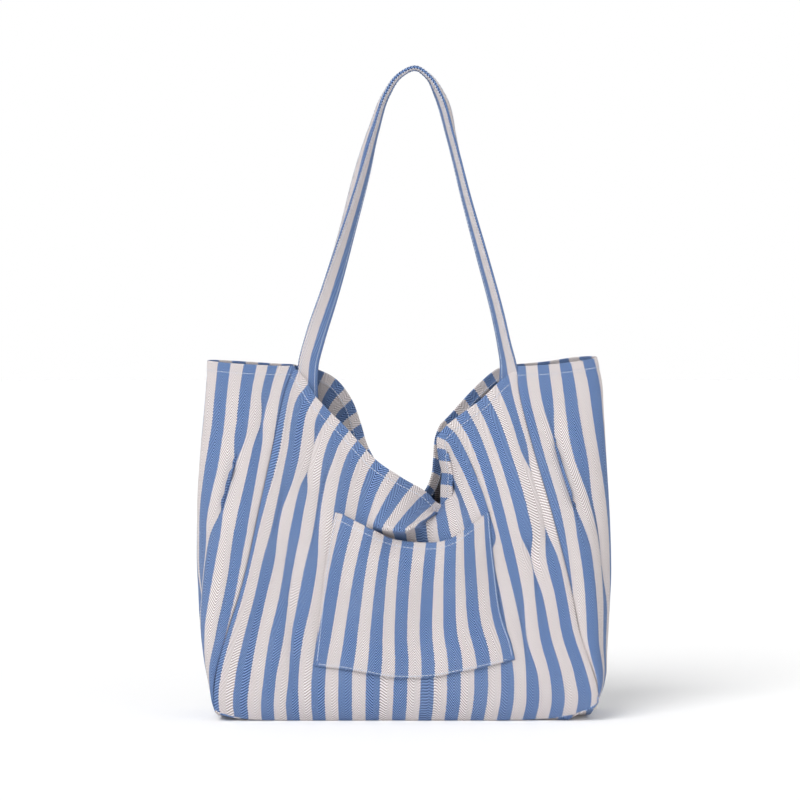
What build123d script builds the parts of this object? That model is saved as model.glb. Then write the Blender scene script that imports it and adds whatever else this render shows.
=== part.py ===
from build123d import *
import os
from math import cos, pi, sin

# A soft shoulder tote of striped canvas. It stands on z = 0, its front faces -Y and +X is its right
# as seen from the front. Every length is in millimetres.

# Driving dimensions
cloth = 2.5                 # one layer of canvas with its seam bulk
top_height = 352.0          # floor to the hem at the side seams
strap_top = 650.0           # floor to the middle of the strap at its highest point
strap_width = 22.0
strap_thickness = 3.2
hem_width = 12.0
pocket_bulge = 9.0          # how far the patch pocket stands off the front
snap_diameter = 12.0

# The bag's outline at six heights: height, half-width, half-width at the front seams, half-depth,
# and whether the middle of the mouth is pinched together there.
stations = [
    (cloth, 190.0, 178.0, 51.0, False),
    (36.0, 198.0, 172.0, 54.0, False),
    (150.0, 207.0, 156.0, 54.0, False),
    (176.0, 207.0, 151.0, 54.0, True),
    (205.0, 206.0, 144.0, 54.0, True),
    (318.0, 199.0, 116.0, 14.0, True),
    (top_height, 196.0, 108.0, 14.0, True),
]
TOP = stations[-1]
BODY_DEPTH = stations[2][3]
MOUTH_DEPTH = TOP[3]
SEAM_TOP = TOP[2]

# The pinch: the front and the back hem meet at a magnetic snap, a little right of the middle.
pinch_x = 35.0
pinch_flat = 20.0           # half-width of the flat that carries the snap
pinch_foot = 48.0           # half-width of the whole pinch
snap_height = 202.0
snap_disc = 3.0             # thickness of each half of the snap
patch_thickness = 2.0
washer_thickness = 0.8
snap_gap = 0.1
boss_length = 1.4           # the stud's boss, and the socket's deeper and wider recess for it
recess_depth = 1.6
boss_radius = 0.26 * snap_diameter
boss_clearance = 0.2
washer_radius = 0.38 * snap_diameter
washer_hole = 0.12 * snap_diameter
snap_edge = 0.4             # rounding of the rims
pinch_depth = snap_gap + snap_disc + patch_thickness + cloth

# The mouth sags between the two strap roots.
mouth_points = [(-SEAM_TOP, top_height), (-16, 246), (pinch_x, 213), (38, 276), (SEAM_TOP, top_height)]
mouth_rounding = 14.0
far_out = 200.0             # reaches past the bag on every side

# Straps
strap_root_x = 97.0
strap_tab_depth = 30.0      # how far each strap end runs down inside the hem
strap_root_y = MOUTH_DEPTH - 2 * cloth - strap_thickness / 2 - 0.1
strap_apex_x = 11.0
strap_apex_y = strap_width / 2 + 0.6
hinge_gap = 0.3
leg_sections = 11           # cross-sections along each leg
arch_power = 1.3            # 1 makes each leg a quarter sine; more straightens it near the root

# Pocket
pocket_x = 8.0
pocket_top_half = 78.0
pocket_bottom_half = 100.0
pocket_top = 204.0
pocket_top_sag = 30.0
pocket_bottom = 58.0
pocket_bottom_sag = 16.0
pocket_hem = 8.0
pocket_wall = 2.0
pocket_hem_thickness = 1.0

# Seam binding: tape folded over each raw seam edge inside the bag
binding_width = 8.0
binding_thickness = 2.0
binding_top = 316.0
floor_corner = 12.0


def at_height(z):
    """Outline of the bag between two stations: half-width, seam half-width and half-depth."""
    for below, above in zip(stations, stations[1:]):
        if z <= above[0]:
            break
    share = (z - below[0]) / (above[0] - below[0])
    return [below[i] + share * (above[i] - below[i]) for i in (1, 2, 3)]


def panel_section(station, near, far):
    """One level of the front wall, from `near` to `far` behind its outer face."""
    z, _, seam, depth, pinched = station
    inner_y = pinch_depth if pinched else depth
    xs = [-seam, pinch_x - pinch_foot, pinch_x - pinch_flat]
    xs += [pinch_x + pinch_flat, pinch_x + pinch_foot, seam]
    ys = [-depth, -depth, -inner_y, -inner_y, -depth, -depth]
    outer = [(x, y + near, z) for x, y in zip(xs, ys)]
    inner = [(x, y + far, z) for x, y in zip(xs, ys)]
    return make_face(Polyline(*outer, *reversed(inner), close=True))


def front_wall(near, far):
    return loft([panel_section(s, near, far) for s in stations], ruled=True)


def mouth_area():
    """The open space above the sagging hem, in the XZ plane."""
    line = FilletPolyline(*mouth_points, radius=mouth_rounding)
    left, right = mouth_points[0], mouth_points[-1]
    lid = Polyline(right, (right[0], top_height + hem_width), (left[0], top_height + hem_width), left)
    return make_face(line + lid)


def through(area):
    """An XZ outline pushed right through the bag along Y."""
    return extrude(Plane.XZ * area, far_out, both=True)


def front_panel():
    return front_wall(0, cloth) - through(mouth_area())


def front_hem():
    """The top edge turned in: a second layer that follows the mouth."""
    band = offset(mouth_area(), hem_width) - mouth_area()
    return front_wall(cloth, 2 * cloth) & through(band)


def gusset_section(z, width, seam, depth, near, far):
    """One level of the right side wall: half an elliptical ring."""
    centre = (seam, 0)
    outer = EllipticalCenterArc(centre, width - seam - near, depth - near, -90, arc_size=180)
    inner = EllipticalCenterArc(centre, width - seam - far, depth - far, -90, arc_size=180)
    ends = Line(outer @ 0, inner @ 0) + Line(outer @ 1, inner @ 1)
    return Pos(0, 0, z) * make_face(outer + inner + ends)


def gusset():
    levels = [gusset_section(*s[:4], 0, cloth) for s in stations]
    return loft(levels, ruled=True)


def gusset_hem():
    low = top_height - hem_width
    heights = [(low, *at_height(low)), TOP[:4]]
    return loft([gusset_section(*h, cloth, 2 * cloth) for h in heights], ruled=True)


def bottom_panel():
    _, width, seam, depth, _ = stations[0]
    ends = [EllipticalCenterArc((seam, 0), width - seam, depth, -90, arc_size=180)]
    ends += [EllipticalCenterArc((-seam, 0), width - seam, depth, 90, arc_size=180)]
    sides = [Line((-seam, -depth), (seam, -depth)), Line((-seam, depth), (seam, depth))]
    return extrude(make_face(ends + sides), cloth)


def pocket_outline(inset, top_drop):
    """The patch pocket in the XZ plane, its top and bottom edges sagging."""
    top_y = pocket_top - top_drop
    bottom_y = pocket_bottom + inset
    top_left = (pocket_x - pocket_top_half + inset, top_y)
    top_right = (pocket_x + pocket_top_half - inset, top_y)
    low_left = (pocket_x - pocket_bottom_half + inset, bottom_y)
    low_right = (pocket_x + pocket_bottom_half - inset, bottom_y)
    top = ThreePointArc(top_left, (pocket_x, top_y - pocket_top_sag), top_right)
    bottom = ThreePointArc(low_left, (pocket_x, bottom_y - pocket_bottom_sag), low_right)
    return make_face(top + bottom + Line(top_left, low_left) + Line(top_right, low_right))


def forward(area, near, far):
    """An XZ outline given thickness in front of the bag, from `near` to `far` off the front wall."""
    return Pos(0, -BODY_DEPTH - near, 0) * extrude(Plane.XZ * area, far - near)


def pocket():
    body = forward(pocket_outline(0, 0), 0, pocket_bulge)
    mouth_gap = pocket_outline(pocket_wall, 0) + pocket_outline(pocket_wall, -pocket_top_sag)
    return body - forward(mouth_gap, 0, pocket_bulge - pocket_wall)


def pocket_hem_strip():
    strip = pocket_outline(pocket_wall, 0) - pocket_outline(0, pocket_hem)
    inner = pocket_bulge - pocket_wall
    return forward(strip, inner - pocket_hem_thickness, inner)


def seam_binding(side):
    """Tape along a front seam: it stands inward from the wall, on the panel's side of the seam."""
    levels = []
    for z in [s[0] for s in stations if s[0] < binding_top] + [binding_top]:
        _, seam, depth = at_height(z)
        start = -depth + cloth
        middle = (side * (seam - binding_thickness / 2), start + binding_width / 2, z)
        levels.append(Pos(*middle) * Rectangle(binding_thickness, binding_width))
    return loft(levels, ruled=True)


def floor_binding():
    """Tape round the floor seam, inside the walls and between the four upright bindings."""
    _, _, seam, depth, _ = stations[0]
    outer = (2 * seam - 4 * binding_thickness, 2 * (depth - cloth - binding_width) - 2)
    rim = RectangleRounded(*outer, floor_corner)
    return Pos(0, 0, cloth) * extrude(rim - offset(rim, -binding_thickness), binding_width)


def strap_tab(side):
    """The sewn end of a strap, flat against the inside of the hem."""
    tab = Box(strap_width, strap_thickness, strap_tab_depth, align=(Align.CENTER, Align.CENTER, Align.MAX))
    return Pos(side * strap_root_x, -strap_root_y, top_height) * tab


def strap_middle(share, side):
    """Middle of the strap, from its root (0) to its highest point (1), on one leg."""
    root_z = top_height + hinge_gap
    x = side * strap_root_x + (strap_apex_x - side * strap_root_x) * share
    y = -strap_root_y + (strap_root_y - strap_apex_y) * share
    z = root_z + (strap_top - root_z) * sin(pi / 2 * share ** arch_power)
    return Vector(x, y, z)


def strap_direction(share, side):
    step = strap_middle(share + 0.01, side) - strap_middle(share - 0.01, side)
    return Vector(step.X, 0, step.Z) * -side


def strap_section(here, along, quarter_turn):
    """A cross-section that turns from flat on the hem to flat over a shoulder."""
    across = Vector(along.Z, 0, -along.X)
    width_dir = across * cos(quarter_turn) + Vector(0, 1, 0) * sin(quarter_turn)
    plane = Plane(origin=here, x_dir=width_dir, z_dir=along)
    return plane * Rectangle(strap_width, strap_thickness)


def strap_loop():
    """One strap from its left root over the arch to its right root, a quarter turn on each leg."""
    shares = [i / leg_sections for i in range(1, leg_sections)]
    sections = [strap_section(strap_middle(0, -1), Vector(0, 0, 1), 0)]
    for share in shares:
        here, along = strap_middle(share, -1), strap_direction(share, -1)
        sections.append(strap_section(here, along, share * pi / 2))
    sections.append(strap_section(strap_middle(1, -1), Vector(1, 0, 0), pi / 2))
    for share in reversed(shares):
        here, along = strap_middle(share, 1), strap_direction(share, 1)
        sections.append(strap_section(here, along, pi - share * pi / 2))
    sections.append(strap_section(strap_middle(0, 1), Vector(0, 0, -1), pi))
    return loft(sections, ruled=True)


def snap_patch():
    """A square of canvas behind the snap, recessed for the washer that clamps the snap."""
    front_y = -pinch_depth + cloth
    size = 1.5 * snap_diameter
    patch = Pos(pinch_x, front_y + patch_thickness / 2, snap_height) * Box(size, patch_thickness, size)
    return patch - snap_washer()


def snap_washer():
    front_y = -pinch_depth + cloth
    ring = Circle(washer_radius) - Circle(washer_hole)
    place = Pos(pinch_x, front_y + washer_thickness, snap_height)
    return place * extrude(Plane.XZ * ring, washer_thickness)


def snap_disc_in_place():
    """The body that both halves of the magnetic snap share, on the front half's side."""
    disc = Cylinder(snap_diameter / 2, snap_disc, rotation=(90, 0, 0))
    disc = fillet(disc.edges().filter_by(GeomType.CIRCLE), snap_edge)
    return Pos(pinch_x, -snap_gap - snap_disc / 2, snap_height) * disc


def snap_stud():
    boss = Cylinder(boss_radius, boss_length, rotation=(90, 0, 0))
    return snap_disc_in_place() + Pos(pinch_x, -snap_gap + boss_length / 2, snap_height) * boss


def snap_socket():
    recess = Cylinder(boss_radius + boss_clearance, 2 * recess_depth, rotation=(90, 0, 0))
    return snap_disc_in_place() - Pos(pinch_x, -snap_gap, snap_height) * recess


def save(name, shape):
    export_step(shape, f"parts/{name}.step")


def mirrored(shape, plane=Plane.XZ):
    return mirror(shape, about=plane)


os.makedirs("parts", exist_ok=True)

save("bottom_panel", bottom_panel())
save("front_panel", front_panel())
save("back_panel", mirrored(front_panel()))
save("front_hem", front_hem())
save("back_hem", mirrored(front_hem()))
save("right_gusset", gusset())
save("left_gusset", mirrored(gusset(), Plane.YZ))
save("right_gusset_hem", gusset_hem())
save("left_gusset_hem", mirrored(gusset_hem(), Plane.YZ))
save("front_pocket", pocket())
save("pocket_hem", pocket_hem_strip())
save("floor_binding", floor_binding())
for side, word in ((-1, "left"), (1, "right")):
    save(f"{word}_front_binding", seam_binding(side))
    save(f"{word}_back_binding", mirrored(seam_binding(side)))
    save(f"front_strap_{word}_end", strap_tab(side))
    save(f"back_strap_{word}_end", mirrored(strap_tab(side)))
save("front_strap", strap_loop())
save("back_strap", mirrored(strap_loop()))
save("snap_stud", snap_stud())
save("snap_socket", mirrored(snap_socket()))
save("front_snap_patch", snap_patch())
save("back_snap_patch", mirrored(snap_patch()))
save("front_snap_washer", snap_washer())
save("back_snap_washer", mirrored(snap_washer()))
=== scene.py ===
from math import cos, pi, radians, sin

import bpy
import numpy as np
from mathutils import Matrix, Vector
from mathutils.bvhtree import BVHTree


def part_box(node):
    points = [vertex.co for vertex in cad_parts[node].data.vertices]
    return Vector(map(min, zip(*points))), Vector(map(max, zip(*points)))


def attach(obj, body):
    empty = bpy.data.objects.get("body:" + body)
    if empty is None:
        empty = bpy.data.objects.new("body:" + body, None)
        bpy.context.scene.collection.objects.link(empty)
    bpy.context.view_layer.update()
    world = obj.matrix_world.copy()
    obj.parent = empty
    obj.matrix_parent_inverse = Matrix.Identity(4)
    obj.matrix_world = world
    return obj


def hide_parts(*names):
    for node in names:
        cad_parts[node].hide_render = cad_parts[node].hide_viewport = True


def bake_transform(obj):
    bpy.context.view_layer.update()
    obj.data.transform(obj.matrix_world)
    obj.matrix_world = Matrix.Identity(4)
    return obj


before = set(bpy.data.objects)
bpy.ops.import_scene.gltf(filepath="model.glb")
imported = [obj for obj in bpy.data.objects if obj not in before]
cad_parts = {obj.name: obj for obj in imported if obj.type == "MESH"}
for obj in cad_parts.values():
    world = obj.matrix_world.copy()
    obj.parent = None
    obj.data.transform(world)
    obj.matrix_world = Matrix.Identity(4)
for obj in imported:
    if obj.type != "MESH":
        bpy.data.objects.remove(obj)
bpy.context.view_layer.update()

# A striped canvas tote. Every shape below is worked out in millimetres in the frame's axes:
# +Z up, the front faces -Y, +X to the right. MM turns them into Blender's metres.
MM = 0.001


def corners(node):
    """Lowest and highest corner of a CAD node in millimetres."""
    low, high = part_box(node)
    return np.array(low) / MM, np.array(high) / MM


# Places that the frame settles, and two beside them that the mouth and the straps need
HALF_DEPTH = corners("back_panel")[1][1]
TOP = corners("right_gusset")[1][2]
MOUTH_LOW = TOP - 139         # the hem at the pinch, where the mouth sags lowest
STRAP_TOP = corners("front_strap")[1][2]
APEX_X = 11                   # top of both straps
SEAM_TOP_X = corners("right_gusset")[0][0]
MOUTH_DEPTH = corners("right_gusset_hem")[1][1] + 2.5    # of the seams at the mouth

# The cloth
STRIPE = 14.0                 # width of one blue or cream stripe
PANEL_WIDTH = 405.0           # flat width of the front and of the back
PANEL_HEIGHT = TOP + 4        # flat height of every wall
GUSSET_HALF_LOW, GUSSET_HALF_TOP = 77.0, 102.0
PANEL_PHASE = 19.0            # first whole blue stripe, from the left seam
LEFT_PHASE, RIGHT_PHASE = -81.5, -104.5   # where blue stripes begin, from a side wall's middle
CANVAS = 1.3                  # thickness of one layer
TURNED_HEM = 0.9              # thickness of the layer that is turned in
HEM = 11.0                    # width of the turned hem
STITCH_LINE = 9.4             # from the hem's edge


# ---------------- curves and grids

def hermite(t, start, leave, end, arrive):
    """Cubic from start to end at shares t of the way, with its slopes at both ends."""
    near = (2 * t**3 - 3 * t**2 + 1) * start + (t**3 - 2 * t**2 + t) * leave
    far = (3 * t**2 - 2 * t**3) * end + (t**3 - t**2) * arrive
    return near + far


def spline(keys, values, at):
    """Smooth curve through values at keys, read at `at`; keys rise, and values may be points."""
    keys = np.asarray(keys, float)
    values = np.asarray(values, float)
    at = np.asarray(at, float)
    slopes = np.gradient(values, keys, axis=0)
    i = np.clip(np.searchsorted(keys, at, side="right") - 1, 0, len(keys) - 2)
    step = keys[i + 1] - keys[i]
    t = np.clip((at - keys[i]) / step, 0, 1)
    if values.ndim > 1:
        t, step = t[..., None], step[..., None]
    return hermite(t, values[i], step * slopes[i], values[i + 1], step * slopes[i + 1])


def lengths(points):
    """Distance along a row of points, from its first point."""
    steps = np.linalg.norm(np.diff(points, axis=0), axis=1)
    return np.concatenate([[0], np.cumsum(steps)])


def from_top(points, near, count):
    """The same column with rows `near` mm below its top and `count` even rows under them."""
    run = lengths(points[::-1])
    rows = np.concatenate([near, np.linspace(near[-1], run[-1], count + 1)[1:]])
    return spline(run, points[::-1], rows)[::-1], rows[::-1]


def hung(columns):
    """A wall's points with rows spaced from its hem down, and each row's distance below it."""
    made = [from_top(column, HEM_ROWS, ROWS) for column in columns]
    return np.array([points for points, _ in made]), np.array([below for _, below in made])


def smoothstep(x, low, high):
    """0 below low, 1 above high and a smooth rise between them."""
    t = np.clip((np.asarray(x, float) - low) / (high - low), 0, 1)
    return t * t * (3 - 2 * t)


def bump(x, centre, width):
    """A bell of height 1 about the centre."""
    return np.exp(-(((np.asarray(x, float) - centre) / width) ** 2))


def unit(vectors):
    """The vectors at length 1."""
    return vectors / np.linalg.norm(vectors, axis=-1, keepdims=True)


def grid_normals(points):
    """Unit normals of a grid of points, on the side where rows x columns point."""
    across = np.gradient(points, axis=0)
    up = np.gradient(points, axis=1)
    normal = np.cross(across, up)
    return normal / np.maximum(np.linalg.norm(normal, axis=-1, keepdims=True), 1e-9)


def wrinkle(a, b, seed, scale):
    """Slow smooth unevenness, about -1 to 1, over two cloth coordinates in millimetres."""
    rng = np.random.default_rng(seed)
    total = np.zeros(np.broadcast(a, b).shape)
    for _ in range(7):
        angle = rng.uniform(-0.5, 0.5)
        wave = scale * rng.uniform(0.7, 1.8)
        phase = rng.uniform(0, 2 * pi)
        total = total + np.sin((a * cos(angle) + b * sin(angle) * 0.6) * 2 * pi / wave + phase)
    return total / 3.2


# ---------------- meshes

def mesh_object(name, vertices, faces, uvs=None):
    """An object from millimetre vertices; uvs holds one pair in metres for each vertex."""
    mesh = bpy.data.meshes.new(name)
    mesh.from_pydata((np.asarray(vertices) * MM).tolist(), [], faces)
    if uvs is not None:
        layer = mesh.uv_layers.new(name="cloth")
        flat = np.asarray(uvs, np.float32)
        loops = np.empty(len(mesh.loops), np.int32)
        mesh.loops.foreach_get("vertex_index", loops)
        layer.data.foreach_set("uv", flat[loops].ravel())
    mesh.shade_smooth()
    item = bpy.data.objects.new(name, mesh)
    bpy.context.scene.collection.objects.link(item)
    return item


def grid_faces(rows, columns, flip=False):
    """Quads over a grid of vertices; flip turns them to face the other way."""
    faces = []
    for i in range(rows - 1):
        for j in range(columns - 1):
            a = i * columns + j
            quad = (a, a + columns, a + columns + 1, a + 1)
            faces.append(quad[::-1] if flip else quad)
    return faces


def sheet_object(name, points, cloth, thickness=CANVAS, flip=False):
    """A grid of points as cloth of one thickness, which lies behind the points."""
    rows, columns = points.shape[:2]
    faces = grid_faces(rows, columns, flip=flip)
    item = mesh_object(name, points.reshape(-1, 3), faces, cloth.reshape(-1, 2) * MM)
    solid = item.modifiers.new("thickness", "SOLIDIFY")
    solid.thickness = thickness * MM
    solid.offset = -1
    return item


def tube(points, radii, sides):
    """Vertices and faces of a closed round tube along a row of points, one radius for each."""
    ring_count = len(points)
    along = unit(np.gradient(points, axis=0))
    side = unit(np.cross(along, [0.31, 0.17, 0.94]))
    other = np.cross(along, side)
    turn = np.arange(sides) * 2 * pi / sides
    rings = side[:, None] * np.cos(turn)[None, :, None] + other[:, None] * np.sin(turn)[None, :, None]
    vertices = (points[:, None] + rings * radii[:, None, None]).reshape(-1, 3)
    faces = []
    for i in range(ring_count - 1):
        for j in range(sides):
            k = (j + 1) % sides
            faces.append((i * sides + j, i * sides + k, (i + 1) * sides + k, (i + 1) * sides + j))
    faces.append(tuple(range(sides))[::-1])
    faces.append(tuple((ring_count - 1) * sides + j for j in range(sides)))
    return vertices, faces


def joined(shapes):
    """One set of vertices and faces from several (vertices, faces) pairs."""
    vertices, faces, first = [], [], 0
    for some_vertices, some_faces in shapes:
        vertices.append(some_vertices)
        faces += [tuple(i + first for i in face) for face in some_faces]
        first += len(some_vertices)
    return np.concatenate(vertices), faces


STITCH_LENGTH, STITCH_GAP = 2.9, 0.9
THREAD = 0.36                 # radius of the sewing thread
# One stitch: shares of its length, its height over the cloth and its share of the radius
STITCH_SHARES = np.array([0, 0.18, 0.5, 0.82, 1])
STITCH_LIFT = np.array([-0.35, 0.2, 0.34, 0.2, -0.35]) + 0.1
STITCH_RADII = THREAD * np.array([0.55, 0.95, 1, 0.95, 0.55])


def stitches(line, normals):
    """Thread stitches along a line that lies on cloth, each dipping in at both ends."""
    run = lengths(line)
    pitch = STITCH_LENGTH + STITCH_GAP
    shapes = []
    for k in range(int(run[-1] / pitch)):
        at = k * pitch + STITCH_GAP / 2 + STITCH_SHARES * STITCH_LENGTH
        here = spline(run, line, at)
        out = spline(run, normals, at)
        shapes.append(tube(here + out * STITCH_LIFT[:, None], STITCH_RADII, sides=5))
    return joined(shapes)


def stitched(name, lines, body=None):
    """One object for the thread of several stitch lines, each a (points, normals) pair."""
    vertices, faces = joined([stitches(line, normals) for line, normals in lines])
    item = mesh_object(name, vertices, faces)
    item.data.materials.append(thread)
    if body:
        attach(item, body)
    return item


# ---------------- materials

BLUE_LIGHT = (0.240, 0.388, 0.720)
# Darkest blue: partly the navy yarn, partly painted shade in the grooves of the twill
BLUE_NAVY_AND_GROOVE_SHADE = (0.007, 0.024, 0.090)
BLUE_FLECK = (0.48, 0.56, 0.72)
CREAM_LIGHT = (0.960, 0.910, 0.920)
# Darkest cream: painted shade in the grooves of the twill and between the yarns
CREAM_GROOVE_SHADE = (0.300, 0.250, 0.238)
CREAM_SLUB = (0.56, 0.47, 0.42)
THREAD_COLOUR = (0.66, 0.70, 0.78)


class Nodes:
    """Shorthand for building a node material."""

    def __init__(self, name):
        self.material = bpy.data.materials.new(name)
        self.material.use_nodes = True
        self.tree = self.material.node_tree
        self.tree.nodes.clear()
        self.shader = self.tree.nodes.new("ShaderNodeBsdfPrincipled")
        output = self.tree.nodes.new("ShaderNodeOutputMaterial")
        self.tree.links.new(self.shader.outputs[0], output.inputs[0])

    def put(self, socket, value):
        if isinstance(value, bpy.types.NodeSocket):
            self.tree.links.new(value, socket)
        else:
            socket.default_value = value

    def math(self, operation, a, b=0.0, c=0.0):
        node = self.tree.nodes.new("ShaderNodeMath")
        node.operation = operation
        for socket, value in zip(node.inputs, (a, b, c)):
            self.put(socket, value)
        return node.outputs[0]

    def times(self, a, b):
        return self.math("MULTIPLY", a, b)

    def scaled(self, value, factor, start):
        return self.math("MULTIPLY_ADD", value, factor, start)

    def mix(self, factor, a, b):
        node = self.tree.nodes.new("ShaderNodeMix")
        node.data_type = "RGBA"
        self.put(node.inputs[0], factor)
        for socket, value in ((node.inputs[6], a), (node.inputs[7], b)):
            self.put(socket, (*value, 1) if isinstance(value, tuple) else value)
        return node.outputs[2]

    def noise(self, vector, scale, detail=2.0):
        node = self.tree.nodes.new("ShaderNodeTexNoise")
        self.put(node.inputs["Vector"], vector)
        node.inputs["Scale"].default_value = scale
        node.inputs["Detail"].default_value = detail
        return node.outputs["Fac"]

    def ramp(self, value, low, high):
        node = self.tree.nodes.new("ShaderNodeMapRange")
        node.interpolation_type = "SMOOTHSTEP"
        self.put(node.inputs["Value"], value)
        node.inputs["From Min"].default_value = low
        node.inputs["From Max"].default_value = high
        return node.outputs["Result"]

    def bump(self, height, distance, strength=1.0):
        node = self.tree.nodes.new("ShaderNodeBump")
        self.put(node.inputs["Height"], height)
        node.inputs["Distance"].default_value = distance
        node.inputs["Strength"].default_value = strength
        self.tree.links.new(node.outputs[0], self.shader.inputs["Normal"])

    def finish(self, colour, roughness):
        """Joins colour and roughness to the shader; the material is then complete."""
        self.put(self.shader.inputs["Base Color"], colour)
        self.put(self.shader.inputs["Roughness"], roughness)
        return self.material

    def object_place(self):
        return self.tree.nodes.new("ShaderNodeTexCoord").outputs["Object"]


TWILL = 3.0                   # distance between two twill lines along the stripe
TWILL_RISE = 1.55             # how steeply the twill lines climb
YARN = 0.7                    # distance between two yarns across the stripe


def canvas_material(name, phase, stripe_width=STRIPE):
    """Herringbone twill in blue and cream stripes that run along the cloth's V axis."""
    n = Nodes(name)
    uv = n.tree.nodes.new("ShaderNodeUVMap")
    uv.uv_map = "cloth"
    split = n.tree.nodes.new("ShaderNodeSeparateXYZ")
    n.tree.links.new(uv.outputs[0], split.inputs[0])
    u = n.scaled(split.outputs[0], 1 / MM, -phase)
    v = n.math("DIVIDE", split.outputs[1], MM)
    place = n.object_place()
    # Every yarn surfaces a step above its neighbour. The steps climb one way on one half of a
    # stripe and the other way on the other half.
    half = stripe_width / 2
    from_ridge = n.math("PINGPONG", u, half)
    lean = n.times(n.math("SNAP", from_ridge, YARN), TWILL_RISE)
    climb = n.math("ADD", v, lean)
    line = n.math("DIVIDE", n.math("PINGPONG", climb, TWILL / 2), TWILL / 2)
    raised = n.ramp(line, 0.31, 0.74)
    # The stripe's edge steps in and out with every twill line
    teeth = n.times(n.math("SUBTRACT", line, 0.5), 0.9)
    uneven = n.times(n.math("SUBTRACT", n.noise(place, 260.0), 0.5), 1.2)
    edge_u = n.math("ADD", u, n.math("ADD", teeth, uneven))
    cycle = n.math("FLOORED_MODULO", n.math("DIVIDE", edge_u, stripe_width), 2.0)
    is_cream = n.times(n.ramp(cycle, 0.985, 1.015), n.ramp(cycle, 2.0, 1.97))
    # The grooves between the yarns, painted darker as shade, with some yarns paler than others
    thread_round = n.ramp(n.math("PINGPONG", from_ridge, YARN / 2), 0.0, YARN * 0.36)
    yarn_groove_shade = n.scaled(thread_round, 0.34, 0.66)
    fine = n.noise(place, 1100.0, 1.0)
    coarse = n.noise(place, 330.0, 2.0)
    # The colour darkens in the grooves of the twill and between the yarns as painted shade, over the
    # bump that raises the same lines
    weave_and_groove_shade = n.times(raised, yarn_groove_shade)
    # In the blue the pale lines are the pale weft, and the dark between them is partly navy yarn and
    # partly painted shade
    raised_blue = n.times(weave_and_groove_shade, n.scaled(fine, 0.7, 0.75))
    blue = n.mix(raised_blue, BLUE_NAVY_AND_GROOVE_SHADE, BLUE_LIGHT)
    fleck = n.times(n.times(raised, thread_round), n.ramp(fine, 0.50, 0.72))
    blue = n.mix(n.times(fleck, 0.42), blue, BLUE_FLECK)
    # In the cream the dark twill lines are painted shade
    raised_cream = n.times(weave_and_groove_shade, n.scaled(fine, 0.5, 0.85))
    cream = n.mix(raised_cream, CREAM_GROOVE_SHADE, CREAM_LIGHT)
    cream = n.mix(n.times(n.ramp(coarse, 0.58, 0.76), 0.22), cream, CREAM_SLUB)
    colour = n.mix(is_cream, blue, cream)
    worn = n.times(n.ramp(n.noise(place, 16.0, 3.0), 0.40, 0.75), 0.10)
    colour = n.mix(worn, colour, n.mix(0.5, colour, (0.50, 0.52, 0.56)))
    n.shader.inputs["Sheen Weight"].default_value = 0.08
    n.shader.inputs["Sheen Roughness"].default_value = 0.5
    n.shader.inputs["Specular IOR Level"].default_value = 0.2
    height = n.math("ADD", n.times(raised, 0.8), n.times(thread_round, 0.25))
    n.bump(height, 0.00032, 0.8)
    return n.finish(colour, n.scaled(raised, -0.10, 0.92))


def thread_material():
    """White thread, a little bluish and fuzzy."""
    n = Nodes("sewing_thread")
    place = n.object_place()
    colour = n.mix(n.ramp(n.noise(place, 500.0), 0.3, 0.7), THREAD_COLOUR, (0.50, 0.57, 0.70))
    n.bump(n.noise(place, 2500.0), 0.0001, 0.6)
    return n.finish(colour, n.scaled(n.noise(place, 1500.0), 0.2, 0.6))


def tape_material():
    """Ribbed cotton tape."""
    n = Nodes("binding_tape")
    place = n.object_place()
    split = n.tree.nodes.new("ShaderNodeSeparateXYZ")
    n.tree.links.new(place, split.inputs[0])
    ribs = n.math("PINGPONG", split.outputs[2], 0.0004)
    weave = n.ramp(ribs, 0.0, 0.0004)
    colour = n.mix(n.times(weave, 0.35), (0.70, 0.66, 0.62), (0.52, 0.49, 0.46))
    colour = n.mix(n.times(n.noise(place, 60.0), 0.25), colour, (0.80, 0.78, 0.74))
    n.bump(weave, 0.00015, 0.8)
    return n.finish(colour, n.scaled(weave, 0.08, 0.84))


def metal_material(name, colour, rough):
    """Scuffed plain metal."""
    n = Nodes(name)
    place = n.object_place()
    scuff = n.ramp(n.noise(place, 320.0, 4.0), 0.4, 0.75)
    colour = n.mix(n.times(scuff, 0.3), colour, (0.45, 0.45, 0.46))
    n.shader.inputs["Metallic"].default_value = 1.0
    n.bump(n.noise(place, 900.0), 0.00005, 0.4)
    return n.finish(colour, n.scaled(scuff, 0.18, rough))


# ---------------- the bag's shape

# Front seams: height, distance of the left and of the right seam from the middle, and depth
SEAM_Z = [0, 20, 86, 130, 218, 282, 336, TOP]
LEFT_SEAM_X = [187, 190, 177, 163, 143, 129, 116, SEAM_TOP_X + 1]
RIGHT_SEAM_X = [188, 192, 174, 165, 142.5, 124, 112, SEAM_TOP_X + 3]
SEAM_Y = [46, 51, 55, 55, 47, 32, 18, MOUTH_DEPTH]
# The outline of each side: how far the gusset stands out
LEFT_OUTLINE = ([0, 13, 30, 60, 93, 127, 184, 230, 261, 295, 331, TOP + 4],
                [184, 190, 194, 201, 206, 208, 208, 206.5, 204, 200, 197, 195])
RIGHT_OUTLINE = ([0, 12, 24, 37, 65, 118, 177, 215, 252, 307, 337, TOP + 7],
                 [183, 190, 196, 200, 202, 205, 205, 203.5, 201.5, 198, 195.5, 190])


def seam_point(side, z, back=False):
    """Point on a side seam of the front, or of the back, at height z; side is -1 or 1."""
    x = side * spline(SEAM_Z, LEFT_SEAM_X if side < 0 else RIGHT_SEAM_X, z)
    y = spline(SEAM_Z, SEAM_Y, z) * (1 if back else -1)
    return np.stack(np.broadcast_arrays(x, y, z), axis=-1)


def floor_lift(u):
    """How far the bottom edge of a panel stands off the floor near its corners."""
    return 1.0 + 9 * np.exp(-u / 16) + 17 * np.exp(-(PANEL_WIDTH - u) / 22)


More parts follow.
